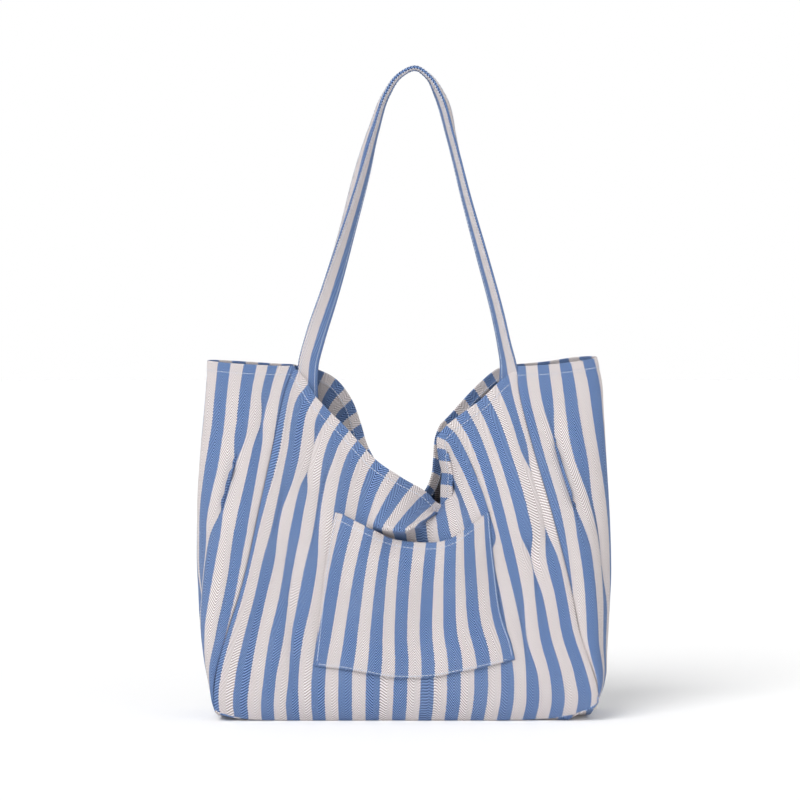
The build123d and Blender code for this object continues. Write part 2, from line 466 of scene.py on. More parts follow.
# The front hem between the seams: cloth distance from the left seam, then x, y, z.
# It sags from both strap roots and is pinched at the snap, right of the middle.
FRONT_HEM = [
    (0, -SEAM_TOP_X - 1, -14, TOP - 3),
    (12, -100, -15, TOP - 12),
    (26, -92, -17, TOP - 26),
    (54, -77, -22, TOP - 43),
    (82, -60, -27, TOP - 60),
    (110, -43, -29, TOP - 79),
    (138, -24, -27, TOP - 98),
    (150, -13, -25, TOP - 106),
    (166, 0, -20, TOP - 115),
    (187, 20.6, -12, TOP - 127),
    (201, 29, -7.9, TOP - 137.5),
    (215, 36, -7.6, TOP - 139),
    (229, 36.5, -7.8, TOP - 132),
    (243, 37, -8.5, TOP - 119),
    (257, 38, -10, TOP - 107),
    (271, 35, -12, TOP - 94),
    (285, 33, -14, TOP - 82),
    (299, 33, -15, TOP - 71),
    (313, 42, -16, TOP - 60),
    (334, 57, -15, TOP - 48),
    (362, 76, -15, TOP - 34),
    (390, 97, -14, TOP - 14),
    (PANEL_WIDTH, SEAM_TOP_X + 3, -14, TOP - 4),
]
# Below the pinch the slack cloth folds forward over itself and droops as a lip, and right of
# the pinch the hem stands as an upright strip with the cloth tucked behind it. Each row is one
# thread of the cloth, from the hem down: x, y and height above the pinch. Its key is the
# thread's cloth distance from the left seam.
LIP_COLUMNS = {
    150: [(-13, -25, 33), (-18, -32, 26), (-27, -42, 12), (-33, -50, -3),
          (-37, -54, -15), (-38, -54, -22), (-38, -54, -30), (-37, -54, -38)],
    166: [(0, -20, 24), (-5, -28, 17), (-14, -42, 3), (-21, -53, -8),
          (-26, -59, -18), (-26, -53, -25), (-26, -50, -31), (-24, -48, -38)],
    180: [(15, -14.5, 15), (9, -23, 10), (-1, -40, 0), (-10, -54, -11),
          (-17, -63.5, -19.5), (-17, -53, -25), (-16, -47, -31), (-15, -45, -38)],
    190: [(22.5, -11, 9.5), (16, -20, 5), (6, -38, -4), (-2, -54, -12.5),
          (-9, -64.5, -20.5), (-8, -51, -25.5), (-7, -45, -31), (-5, -43, -38)],
    201: [(29, -7.9, 1.5), (25, -16, -2), (16, -36, -9), (8, -53, -15.5),
          (0, -64, -21), (1, -50, -25.5), (1.5, -44, -31), (3, -43, -38)],
    215: [(36, -7.6, 0), (36.5, -9, -9), (29, -33, -6.5), (19, -50, -11.5),
          (9.5, -61.5, -17.5), (10, -49, -22), (11, -44, -29), (13, -44, -37)],
    229: [(36.5, -7.8, 7), (45, -15, 6), (38, -4, -6), (28, -24, -11),
          (20, -45, -17), (21, -46, -22), (22, -45, -29), (24, -46, -37)],
    243: [(37, -8.5, 20), (46, -17, 19.5), (38.5, 0, 8), (35, -11, -6),
          (31, -35, -12.5), (32, -41, -19), (33, -45, -27), (35, -48, -35)],
    257: [(38, -10, 32), (46, -18.5, 31), (41, -1, 18), (41, -12, 3),
          (41.5, -30, -8), (43, -38, -16), (45, -44, -25), (47, -49, -34)],
    271: [(35, -12, 45), (43.5, -19, 43.5), (43.5, -5, 34), (47.5, -8, 21),
          (53.5, -20, 6), (56.5, -34, -8), (59, -44, -20), (61, -50, -32)],
    285: [(33, -14, 57), (40.5, -18, 55), (44, -14, 44), (48, -15, 31),
          (56, -25, 13), (62, -36, -3), (67, -46, -18), (71, -51, -32)],
    299: [(33, -15, 68), (42, -19, 63.5), (50, -20, 50), (58, -24, 35),
          (66.5, -31, 15), (73, -39, -1), (78, -47, -16), (82, -52, -30)],
    313: [(42, -16, 79), (50, -20, 72), (60, -24, 56), (69, -28, 38),
          (78, -35, 19), (84, -42, 3), (89, -49, -13), (93, -53, -28)],
}
BACK_HEM = [
    (0, -SEAM_TOP_X - 1, 14, TOP - 2),
    (24, -88, 16, TOP - 6),
    (48, -69, 20, TOP - 16),
    (74, -54, 24, TOP - 36),
    (102, -45, 26, TOP - 61),
    (128, -38, 25, TOP - 84),
    (160, -20, 20, TOP - 112),
    (196, 6, 13, TOP - 133),
    (212, 16, 9, TOP - 133),
    (226, 23, 7.6, TOP - 124),
    (241, 28, 8, TOP - 110),
    (257, 29.5, 9, TOP - 94),
    (280, 31.5, 11, TOP - 72),
    (290, 35, 12, TOP - 63),
    (306, 45, 14, TOP - 52),
    (330, 62, 16, TOP - 33),
    (354, 78, 17, TOP - 17),
    (380, 94, 16, TOP - 5),
    (PANEL_WIDTH, SEAM_TOP_X + 3, 14, TOP - 2),
]
# Rows and columns of every wall: close together at the hem and at the seams
HEM_ROWS = np.array([0, 0.6, 1.6, 3.5, 6, 7.8, 8.6, 9.4, 10.2, 11, 12, 14])
ROWS = 170
SEAM_COLUMNS = np.array([0, 1, 2.2, 3.6, 5.4]) / PANEL_WIDTH
COLUMNS = np.concatenate([SEAM_COLUMNS, np.linspace(0.018, 0.982, 176), 1 - SEAM_COLUMNS[::-1]])
# Lower part of a panel: heights, and how far the middle stands out there
LOW_LEVELS = np.array([0, 5, 16, 42, 82, 124, 165.0])
LOW_FULLNESS = np.array([-4, 0, 4, 5, 5, 5, 4.0])
# Upper part of a panel: shares of the way from there to the hem
HIGH_SHARES = np.array([0.14, 0.28, 0.42, 0.56, 0.70, 0.85, 1.0])


def drift(drifts, u, z):
    """How far the cloth has slid sideways at (u, z)."""
    slid = np.zeros(np.broadcast(u, z).shape)
    for at_u, at_z, reach_u, reach_z, distance in drifts:
        slid += distance * bump(u, at_u, reach_u) * bump(z, at_z, reach_z)
    return slid


def fold_terms(folds, u, z):
    """Cloth shift across and depth of every fold at (u, z).
    A fold is (u, z) of its upper end, (u, z) of its lower end, half-width, depth, pinch."""
    shift = np.zeros(np.broadcast(u, z).shape)
    depth = np.zeros_like(shift)
    for u_top, z_top, u_low, z_low, width, deep, pinch in folds:
        share = np.clip((z - z_low) / (z_top - z_low), -0.3, 1.3)
        distance = u - (u_low + (u_top - u_low) * share)
        soft = 0.25 * (z_top - z_low)
        window = smoothstep(z, z_low - soft, z_low + soft)
        window = window * (1 - smoothstep(z, z_top - soft, z_top + soft))
        near = np.exp(-((distance / width) ** 2))
        shift -= pinch * distance * near * window
        depth += deep * near * window
    return shift, depth


FRONT_FOLDS = [
    (54, 292, 54, 243, 11, 6.0, 1.10),
    (84, 250, 80, 178, 9, 4.0, 0.60),
    (26, 218, 26, 186, 9, 3.0, 0.55),
    (50, 160, 84, 48, 10, 4.5, 0.75),
    (391, 250, 388, 186, 12, 6.5, 1.20),
    (363, 176, 360, 128, 11, 5.5, 0.90),
    (336, 120, 330, 58, 10, 4.0, 0.60),
    (305, 170, 303, 84, 10, 3.0, 0.55),
    (120, 175, 128, 60, 15, 2.0, 0.15),
    (250, 160, 232, 60, 15, 2.0, 0.18),
]
# Where the cloth has slid sideways: u, z, reach in u, reach in z, distance
FRONT_DRIFTS = [
    (45, 50, 34, 45, 5.0),
    (26, 268, 34, 52, 8.5),
    (205, 80, 60, 70, 4.5),
    (300, 92, 52, 62, 9.0),
    (312, 290, 30, 45, 3.5),
]
BACK_DRIFTS = [
    (60, 240, 50, 70, 6.0),
    (330, 150, 60, 80, -6.0),
]
BACK_FOLDS = [
    (60, 300, 40, 190, 12, 5.0, 0.5),
    (110, 210, 80, 70, 16, 4.5, 0.45),
    (350, 280, 372, 160, 12, 5.5, 0.6),
    (318, 190, 345, 60, 14, 4.0, 0.45),
    (190, 170, 180, 40, 20, 3.0, 0.25),
    (262, 190, 270, 70, 16, 3.0, 0.3),
]


def wall_columns(hem, back, folds, drifts):
    """The front or back panel: points, cloth coordinates and distance below the hem."""
    hem = np.array(hem, float)
    u_all = PANEL_WIDTH * COLUMNS
    hem_points = spline(hem[:, 0], hem[:, 1:], u_all)
    hem_along = unit(np.gradient(hem_points[:, [0, 2]], axis=0))
    sign = 1 if back else -1
    columns = []
    for k, u in enumerate(u_all):
        share = u / PANEL_WIDTH
        lift = floor_lift(u)
        z = lift + LOW_LEVELS * (1 - lift / LOW_LEVELS[-1])
        left, right = seam_point(-1, z, back), seam_point(1, z, back)
        low = left + (right - left) * share
        crown = np.sin(pi * share) ** 0.6
        low[:, 1] += sign * LOW_FULLNESS * crown
        # From there the thread curves up to meet the hem at a right angle
        middle, top = low[-1], hem_points[k]
        reach = np.linalg.norm((top - middle)[[0, 2]])
        leave = (low[-1] - low[-2])[[0, 2]]
        leave *= reach * 0.9 / np.linalg.norm(leave)
        arrive = reach * 0.75 * np.array([-hem_along[k, 1], hem_along[k, 0]])
        flat = hermite(HIGH_SHARES[:, None], middle[[0, 2]], leave, top[[0, 2]], arrive)
        leaning = smoothstep(HIGH_SHARES, 0.05, 1.08) / smoothstep(1.0, 0.05, 1.08)
        y = middle[1] + (top[1] - middle[1]) * leaning
        high = np.stack([flat[:, 0], y, flat[:, 1]], axis=1)
        column = np.concatenate([low, high])
        # Folds and slips fade out towards the hem and towards the seams
        shift, deep = fold_terms(folds, u, column[:, 2])
        free = np.concatenate([np.ones(len(low)), 1 - HIGH_SHARES**3])
        free *= smoothstep(min(u, PANEL_WIDTH - u), 0, 7)
        column[:, 0] += (shift + drift(drifts, u, column[:, 2])) * free
        column[:, 1] -= sign * deep * free
        columns.append(column)
    columns = np.array(columns)
    # The outermost columns lie on the seams, and their neighbours follow
    for side, end in ((-1, 0), (1, -1)):
        wanted = seam_point(side, columns[end, :, 2], back)
        off = wanted - columns[end]
        near = np.exp(-np.abs(u_all - u_all[end]) / 28)
        columns = columns + near[:, None, None] * off[None]
    points, below = hung(columns)
    cloth = np.stack([np.broadcast_to(u_all[:, None], below.shape), PANEL_HEIGHT - below], axis=-1)
    return points, cloth, below


def add_lip(points, cloth, below):
    """Replaces the front wall's columns near the pinch by the threads of the lip."""
    keys = np.array(sorted(LIP_COLUMNS), float)
    table = np.array([LIP_COLUMNS[int(k)] for k in keys], float)
    table[..., 2] += MOUTH_LOW
    u_all = cloth[:, 0, 0]
    weight = smoothstep(u_all, keys[0] - 16, keys[0] + 10)
    weight *= 1 - smoothstep(u_all, keys[-1] - 7, keys[-1] + 19)
    for i in np.nonzero(weight > 0)[0]:
        threads = spline(keys, table, u_all[i])
        column = points[i]
        # The wall goes on a little below the last thread point, with every sixth of its rows
        under = column[column[:, 2] < threads[-1, 2] - 14][::-1]
        under = under[np.linspace(0, len(under) - 1, len(under) // 6).astype(int)]
        path = np.concatenate([threads, under])[::-1]
        made = from_top(path, HEM_ROWS, ROWS)[0]
        points[i] = (1 - weight[i]) * column + weight[i] * made
        below[i] = lengths(points[i][::-1])[::-1]
        cloth[i, :, 1] = PANEL_HEIGHT - below[i]


def hem_relief(points, below, sign):
    """The turned hem is thicker: it stands out a little and dips at its stitching."""
    normal = grid_normals(points) * sign
    rise = 0.7 * (1 - smoothstep(below, HEM - 1, HEM + 1)) - 0.55 * bump(below, STITCH_LINE, 0.9)
    return points + normal * rise[..., None]


def seam_relief(points, edge, sign):
    """The seams are valleys: the cloth swells beside them."""
    normal = grid_normals(points) * sign
    swell = 1.4 * (1 - np.exp(-edge / 1.8)) + 0.5 * bump(edge, 6, 3)
    return points + normal * swell[..., None]


def gusset_half(side, height):
    """Half the flat width of a side wall at a height from 0 to 1; it narrows towards the floor."""
    grown = height if side < 0 else smoothstep(height, 0, 0.62)
    return GUSSET_HALF_LOW + (GUSSET_HALF_TOP - GUSSET_HALF_LOW) * grown


def gusset_grid(side, folds, drifts):
    """A side wall from the front seam round to the back seam."""
    near_seam = np.array([0, 0.008, 0.02, 0.035])
    shares = np.concatenate([near_seam, np.linspace(0.05, 0.95, 92), 1 - near_seam[::-1]])
    shares = 2 * shares - 1
    fade = 1 - shares**8
    outline = LEFT_OUTLINE if side < 0 else RIGHT_OUTLINE
    # How far the bottom corner is lifted, and the middle of the rim and its back part rise
    corner, crest, back_rise = (10, 4, 1.2) if side < 0 else (18, 7, 2.8)
    levels = np.concatenate([[0, 0.012, 0.03], np.linspace(0.06, 1, 34)])
    t = np.linspace(0, 1, 24)[:, None]
    grid = []
    for v in levels:
        z_mid = 1 + v * (TOP + crest - 1)
        wide = float(spline(*outline, z_mid)) * side
        half = gusset_half(side, v)
        row = []
        for back in (False, True):
            # From the seam round to the middle of the side, fuller near the floor
            facing = 1 if back else -1
            start = seam_point(side, 1 + corner * (1 - v) + v * (TOP - 2), back)
            out = (wide - start[0]) * (0.96 if back else 1)
            low = 1 - v
            p1 = start + [out * (0.55 + 0.25 * low), facing * (1 + 6 * low), 0]
            p2 = np.array([wide + side * 1.5, start[1] * 0.62, 0])
            p3 = np.array([wide - side * 2.0 * low, 0, 0])
            curve = (1 - t) ** 3 * start + 3 * (1 - t) ** 2 * t * p1
            curve += 3 * (1 - t) * t**2 * p2 + t**3 * p3
            curve[:, 2] = start[2] + (z_mid - start[2]) * smoothstep(t[:, 0], 0, 1)
            if back:
                curve[:, 2] += back_rise * v * np.sin(pi * t[:, 0])
            row.append(curve)
        whole = np.concatenate([row[0], row[1][::-1][1:]])
        u = shares * half
        shift, deep = fold_terms(folds, u, z_mid)
        shift = (shift + drift(drifts, u, z_mid)) * fade
        run = lengths(whole)
        at = (u + shift + half) / (2 * half) * run[-1]
        line = spline(run, whole, np.clip(at, 0, run[-1]))
        along = unit(np.gradient(line, axis=0))
        inward = np.stack([-along[:, 1], along[:, 0], np.zeros(len(along))], axis=1) * side
        grid.append(line + inward * (deep * fade)[:, None])
    grid = np.array(grid).transpose(1, 0, 2)
    points, below = hung(grid)
    half_at = gusset_half(side, np.clip(1 - below / PANEL_HEIGHT, 0, 1))
    cloth = np.stack([shares[:, None] * half_at, PANEL_HEIGHT - below], axis=-1)
    return points, cloth, below


# Folds on a gusset use the distance from its middle line, negative towards the front
LEFT_FOLDS = [
    (-73, 316, -75, 286, 9, 4.0, 0.70),
    (-46, 268, -44, 196, 12, 4.5, 0.93),
    (-70, 165, -72, 60, 10, 3.5, 0.60),
    (-30, 190, -24, 110, 12, 4.0, 0.45),
    (20, 260, 34, 120, 14, 6.0, 0.5),
    (-4, 130, 0, 20, 14, 5.0, 0.45),
    (62, 220, 58, 60, 14, 4.0, 0.35),
]
RIGHT_FOLDS = [
    (-70, 300, -69, 196, 12, 4.5, 0.94),
    (-41, 240, -40, 130, 11, 5.5, 0.95),
    (-93, 165, -93, 40, 10, 1.5, 0.70),
    (26, 250, 36, 110, 14, 6.0, 0.5),
    (4, 120, 0, 20, 14, 5.0, 0.45),
    (66, 240, 60, 70, 14, 4.0, 0.35),
]
# On both sides more of the side cloth hangs towards the front
LEFT_DRIFTS = [(-30, 265, 46, 85, -13.0)]
RIGHT_DRIFTS = [(-42, 255, 42, 80, -10.0)]


# ---------------- the walls

panel_cloth = canvas_material("canvas_panels", PANEL_PHASE)
left_cloth = canvas_material("canvas_left_side", LEFT_PHASE)
right_cloth = canvas_material("canvas_right_side", RIGHT_PHASE)
thread = thread_material()
tape = tape_material()


def dress(item, material):
    """Gives a new piece of the bag's body its material and parents it to the bag's body."""
    item.data.materials.append(material)
    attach(item, "bag")


def hem_strip(name, points, cloth, sign, material, node):
    """The turned-in edge along the inside of a wall, ending below its stitch line."""
    rows = len(HEM_ROWS) - 1
    top = points[:, -rows:]
    inner = top - grid_normals(points)[:, -rows:] * sign * (CANVAS + 0.05)
    item = sheet_object(name, inner, cloth[:, -rows:], thickness=TURNED_HEM, flip=sign < 0)
    dress(item, material)
    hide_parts(node)
    return item


def hem_line(points, below, sign, depth=0):
    """The stitch line along a hem, with the direction it faces; a depth puts it on the inside."""
    normal = grid_normals(points) * sign
    k = np.argmin(np.abs(below - STITCH_LINE), axis=1)
    rows = np.arange(len(points))
    return points[rows, k] - normal[rows, k] * depth, normal[rows, k] * (1 if depth == 0 else -1)


def wall(name, points, cloth, below, sign, material, replaced):
    """A wall with its turned hem and its sewing: the piece, and the list of what goes with it."""
    item = sheet_object(name, points, cloth, flip=sign < 0)
    dress(item, material)
    wall_node, hem_node = replaced
    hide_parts(wall_node)
    strip = hem_strip(name + "_hem", points, cloth, sign, material, hem_node)
    outer = hem_line(points, below, sign)
    inner = hem_line(points, below, sign, depth=CANVAS + 1.0)
    sewing = stitched(name + "_hem_thread", [outer, inner], "bag")
    return item, [strip, sewing]


front, front_uv, front_below = wall_columns(FRONT_HEM, False, FRONT_FOLDS, FRONT_DRIFTS)
add_lip(front, front_uv, front_below)
edge = np.minimum(front_uv[..., 0], PANEL_WIDTH - front_uv[..., 0])
# Away from the seams and the floor the cloth is slightly uneven
calm = smoothstep(edge, 4, 40) * smoothstep(front_uv[..., 1], 4, 40)
front[..., 1] -= 1.6 * calm * wrinkle(front_uv[..., 0], front_uv[..., 1], 11, 95)
front = seam_relief(front, edge, 1)
front = hem_relief(front, front_below, 1)

back, back_uv, back_below = wall_columns(BACK_HEM, True, BACK_FOLDS, BACK_DRIFTS)
calm = smoothstep(edge, 4, 40) * smoothstep(back_uv[..., 1], 4, 40)
back[..., 1] += 2.4 * calm * wrinkle(back_uv[..., 0], back_uv[..., 1], 23, 80)
back = seam_relief(back, edge, -1)
back = hem_relief(back, back_below, -1)

walls, rims = {}, {}
for word, points, uv, below, sign in (
    ("front", front, front_uv, front_below, 1),
    ("back", back, back_uv, back_below, -1),
):
    nodes = (word + "_panel", word + "_hem")
    walls[word] = wall(word + "_wall", points, uv, below, sign, panel_cloth, nodes)

for side, word, folds, drifts, material in (
    (-1, "left", LEFT_FOLDS, LEFT_DRIFTS, left_cloth),
    (1, "right", RIGHT_FOLDS, RIGHT_DRIFTS, right_cloth),
):
    points, uv, below = gusset_grid(side, folds, drifts)
    half = gusset_half(side, 1 - below / PANEL_HEIGHT)
    edge = half - np.abs(uv[..., 0])
    calm = smoothstep(edge, 4, 30) * smoothstep(uv[..., 1], 4, 40)
    points[..., 0] += side * 1.5 * calm * wrinkle(uv[..., 0], uv[..., 1], 31 + side, 70)
    points = seam_relief(points, edge, side)
    points = hem_relief(points, below, side)
    nodes = (word + "_gusset", word + "_gusset_hem")
    walls[word] = wall(word + "_wall", points, uv, below, side, material, nodes)
    rims[word] = points[:, 0]


# ---------------- the floor of the bag

BASE_LEVEL = 1.6              # height of the floor's upper face
# The rim goes round the bottom edges of the four walls, and rings lead from it to the middle
rim = np.concatenate([front[:, 0], rims["right"][1:], back[::-1, 0][1:], rims["left"][::-1][1:-1]])
closed = np.concatenate([rim, rim[:1]])
rings = []
for share in (1.0, 0.985, 0.96, 0.92, 0.85, 0.7, 0.5, 0.3, 0.1, 0.0):
    ring = closed * [share, share, 1]
    ring[:, 2] = BASE_LEVEL + (closed[:, 2] - BASE_LEVEL) * smoothstep(share, 0.86, 1.0)
    rings.append(ring)
rings = np.array(rings)
base = sheet_object("base", rings, rings[..., [0, 1]] + [PANEL_WIDTH / 2, 0])
dress(base, panel_cloth)
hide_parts("bottom_panel")


# ---------------- seam bindings

TAPE_WIDTH, TAPE_THICK = 8.0, 1.6


def binding(name, line, inward, node):
    """Tape folded over the seam allowance, standing inwards along a seam."""
    across = np.array([0, 1.0, 4.5, TAPE_WIDTH])
    points = line[:, None] + inward[:, None] * across[None, :, None]
    item = sheet_object(name, points, np.zeros(points.shape[:2] + (2,)), thickness=TAPE_THICK)
    dress(item, tape)
    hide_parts(node)


for side, word in ((-1, "left"), (1, "right")):
    for is_back, wall_word in ((False, "front"), (True, "back")):
        line = seam_point(side, np.linspace(12, TOP - 36, 60), is_back)
        inward = np.tile([-side * 0.75, -0.66 if is_back else 0.66, 0], (len(line), 1))
        seam = f"{word}_{wall_word}"
        binding(seam + "_seam_tape", line + inward * 1.5, inward, seam + "_binding")

ring = np.concatenate([rim[::6], rim[:1]])
ring_in = unit(-ring * [0.4, 1, 0]) * 0.8 + [0, 0, 0.6]
binding("base_seam_tape", ring + ring_in * 2 + [0, 0, 1.5], ring_in, "floor_binding")


# ---------------- the patch pocket

front_tree = BVHTree.FromPolygons(
    [Vector(p) for p in front.reshape(-1, 3)], grid_faces(*front.shape[:2])
)


def front_depth(x, z):
    """Depth of the front wall at (x, z), the nearest layer to the front."""
    hit = front_tree.ray_cast(Vector((x, -200, z)), Vector((0, 1, 0)))
    return hit[0].y if hit[0] is not None else -HALF_DEPTH


# Outline of the pocket as x, z: its four sides
POCKET_LEFT = [(-90, 57), (-87, 82), (-83, 118), (-79, 155), (-75, 180), (-69, 208.5)]
POCKET_RIGHT = [(109, 63), (105, 80), (96, 106), (89, 152), (85.5, 183), (83.5, 208.5)]
POCKET_BOTTOM = [(-90, 57), (-50, 52), (-10, 45), (16, 45), (59, 52), (109, 63)]
POCKET_MOUTH = [(-69, 208.5), (-61, 206), (-49, 200), (-30, 191), (-12, 182.5), (9, 178.5),
                (34, 179), (48, 184), (66, 196.5), (83.5, 208.5)]
# Cloth distance across the pocket at its mouth, for the mouth's x
MOUTH_X = [-69.5, -61, -50, -39, -31, -21, -13, -3, 9, 21, 32, 40, 51, 58, 68, 78, 84]
MOUTH_U = [92] + [103 + STRIPE * k for k in range(15)] + [307]
POCKET_HEIGHT, POCKET_SPAN = 148.0, 190.0    # for distances from its edges
POCKET_FLAT = (215, 150)      # the cloth itself
POCKET_CLOTH = 1.2            # its thickness
POCKET_SEWING = 3.0           # stitches to the wall, from the pocket's edge
POCKET_HEM_SEWING = 6.3       # stitches of its hem, from the mouth


def along(points, shares):
    """Points at shares of the length of a smooth outline."""
    points = np.array(points, float)
    run = lengths(points)
    return spline(run / run[-1], points, shares)


def pocket_grid():
    """The pocket's points and cloth coordinates, with its columns s and rows t from 0 to 1."""
    near_side = np.array([0, 0.005, 0.012, 0.02, 0.03])
    s = np.concatenate([near_side, np.linspace(0.045, 0.955, 96), 1 - near_side[::-1]])
    near_mouth = [0.92, 0.935, 0.945, 0.955, 0.965, 0.975, 0.985, 0.993, 1]
    t = np.concatenate([[0, 0.007, 0.016, 0.03], np.linspace(0.05, 0.90, 58), near_mouth])
    low, high = along(POCKET_BOTTOM, s), along(POCKET_MOUTH, s)
    left, right = along(POCKET_LEFT, t), along(POCKET_RIGHT, t)
    tt, ss = t[None, :, None], s[:, None, None]
    # A patch spanned by its four sides
    flat = (1 - tt) * low[:, None] + tt * high[:, None] + (1 - ss) * left[None] + ss * right[None]
    flat -= (1 - tt) * ((1 - ss) * low[0] + ss * low[-1])
    flat -= tt * ((1 - ss) * high[0] + ss * high[-1])
    depth = np.array([[front_depth(*p) for p in row] for row in flat])
    # Slack across the mouth: the pocket hangs clear of the wall and bridges its dips
    inset = np.minimum(s, 1 - s)[:, None] * POCKET_SPAN
    fade = smoothstep(inset, 0, 42)
    stand = 1.5 + 5.5 * fade * smoothstep(t, 0.35, 1.0)[None] + 1.0 * smoothstep(inset, 2, 14)
    smooth = depth.copy()
    for _ in range(30):
        beside = smooth[:-2, 1:-1] + smooth[2:, 1:-1]
        smooth[1:-1, 1:-1] = (beside + smooth[1:-1, :-2] + smooth[1:-1, 2:]) / 4
    y = np.minimum(depth, smooth) - stand
    ripples = wrinkle(s[:, None] * POCKET_FLAT[0], t[None] * POCKET_FLAT[1], 5, 60)
    y -= 0.9 * ripples * fade
    points = np.stack([flat[..., 0], y, flat[..., 1]], axis=-1)
    # Its stripes run on from the wall's at the bottom
    u_high = np.interp(high[:, 0], MOUTH_X, MOUTH_U)
    low_left, low_right = seam_point(-1, 50)[0], seam_point(1, 50)[0]
    u_low = (low[:, 0] - low_left) / (low_right - low_left) * PANEL_WIDTH
    u_low -= drift(FRONT_DRIFTS, u_low, 80) * PANEL_WIDTH / (low_right - low_left)
    u = u_low[:, None] + (u_high - u_low)[:, None] * t[None]
    v = np.broadcast_to(t[None] * POCKET_FLAT[1], u.shape)
    return points, np.stack([u, v], axis=-1), s, t


pocket, pocket_uv, pocket_s, pocket_t = pocket_grid()
from_mouth = (1 - pocket_t)[None] * POCKET_HEIGHT
from_side = np.minimum(pocket_s, 1 - pocket_s)[:, None] * POCKET_SPAN
edge = np.minimum(np.minimum(from_side, pocket_t[None] * POCKET_HEIGHT), 30)
# Thick at its edges and its hem, with a dip at each row of stitches
lift = 0.9 * np.clip(edge / 1.2, 0, 1) - 0.55 * bump(edge, POCKET_SEWING + 0.2, 1.1)
lift += 0.5 * (1 - smoothstep(from_mouth, 7, 9)) - 0.45 * bump(from_mouth, POCKET_HEM_SEWING, 0.8)
pocket = pocket + grid_normals(pocket) * lift[..., None]
patch = sheet_object("pocket", pocket, pocket_uv, thickness=POCKET_CLOTH)
dress(patch, panel_cloth)
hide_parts("front_pocket")
rows = pocket_t > 0.945       # the part of it that the turned hem lines
lining = pocket[:, rows] - grid_normals(pocket)[:, rows] * CANVAS
turned = sheet_object("pocket_turned_hem", lining, pocket_uv[:, rows], thickness=TURNED_HEM)
dress(turned, panel_cloth)
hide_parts("pocket_hem")


def pocket_row(share):
    """A stitch line across the pocket at a share of its height."""
    k = int(np.argmin(np.abs(pocket_t - share)))
    inside = (pocket_s > 0.012) & (pocket_s < 0.988)
    return pocket[inside, k], grid_normals(pocket)[inside, k]


def pocket_column(share):
    """A stitch line up the pocket at a share of its width."""
    k = int(np.argmin(np.abs(pocket_s - share)))
    inside = pocket_t > 0.016
    return pocket[k, inside], grid_normals(pocket)[k, inside]


pocket_lines = [
    pocket_row(1 - POCKET_HEM_SEWING / POCKET_HEIGHT),
    pocket_row(POCKET_SEWING / POCKET_HEIGHT),
    pocket_column(POCKET_SEWING / POCKET_SPAN),
    pocket_column(1 - POCKET_SEWING / POCKET_SPAN),
]
pocket_thread = stitched("pocket_thread", pocket_lines, "bag")


# ---------------- the straps

STRAP_WIDTH, STRAP_THICK = 20.5, 3.2
STRAP_STRIPE = 10.4           # width of its cream stripe, and of the blue one beside it
STRAP_PHASE = 0.9 - STRAP_STRIPE
STRAP_SEWING = 3.0            # stitches from the strap's edges
STRAP_GAP = 11.3              # middle line of a strap at the hem, from the bag's middle plane
# The strap's line from the left end to the right: x, z and the turn of its flat side away
# from the front, in degrees
STRAP_LINE = [
    (-97, TOP - 34, 10),
    (-97.5, TOP - 18, 6),
    (-96.5, TOP, 4),
    (-90.5, TOP + 24, 4),
    (-75, TOP + 72, 24),
    (-57, TOP + 132, 48),
    (-40, TOP + 192, 62),
    (-29, TOP + 235, 74),
    (-18, TOP + 269, 78),
    (-5, TOP + 288, 82),
    (11, TOP + 295, 84),
    (22.5, TOP + 287, 82),
    (33, TOP + 268, 72),
    (45, TOP + 228, 70),
    (62, TOP + 162, 66),
    (77, TOP + 108, 60),
    (93, TOP + 48, 56),
    (99, TOP + 20, 52),
    (103, TOP, 40),
    (104, TOP - 16, 20),
    (104, TOP - 34, 8),
]


def strap_grid(sign):
    """Centre line, and directions across and out of the strap, with sign -1 for the front one."""
    keys = np.array(STRAP_LINE, float)
    run = lengths(keys[:, :2])
    x, z, turn = spline(run, keys, np.linspace(0, run[-1], 280)).T
    turn = np.radians(turn)
    height = np.clip((z - TOP) / (STRAP_TOP - TOP), 0, 1)
    y = STRAP_GAP + 1.2 * height + 2.5 * np.sin(pi * height)
    if sign > 0:
        # The back strap swings out a little past the front one, so that a thin line of it shows
        on_left, on_right = -5.5 * bump(height, 0.66, 0.22), 4.0 * bump(height, 0.86, 0.12)
        x = x + np.where(x < APEX_X, on_left, on_right)
    line = np.stack([x, sign * y, z], axis=1)
    tangent = unit(np.gradient(line, axis=0))
    side = unit(np.cross(tangent, [0, -1.0, 0]))
    face = np.cross(side, tangent)
    across = side * np.cos(turn)[:, None] + face * np.sin(turn)[:, None] * sign
    return line, across, np.cross(tangent, across)


def strap_section():
    """Outline of the folded strap, as distances across and out; it dips at its stitches."""
    half, thick = STRAP_WIDTH / 2, STRAP_THICK / 2
    across = [-half, -half + 0.5, -half + 2.2, -half + 3.0, -half + 3.8, -half + 6, -2, 2]
    across += [-a for a in across[:6][::-1]]
    swell = [0, 0.75, 1.05, 0.86, 1.0, 1.06, 1.06, 1.06, 1.06, 1.0, 0.86, 1.05, 0.75, 0]
    upper = [(a, s * thick) for a, s in zip(across, swell)]
    lower = [(a, -s * thick) for a, s in zip(across[1:-1][::-1], swell[1:-1][::-1])]
    return np.array(upper + lower)


strap_cloth = canvas_material("canvas_straps", STRAP_PHASE, stripe_width=STRAP_STRIPE)


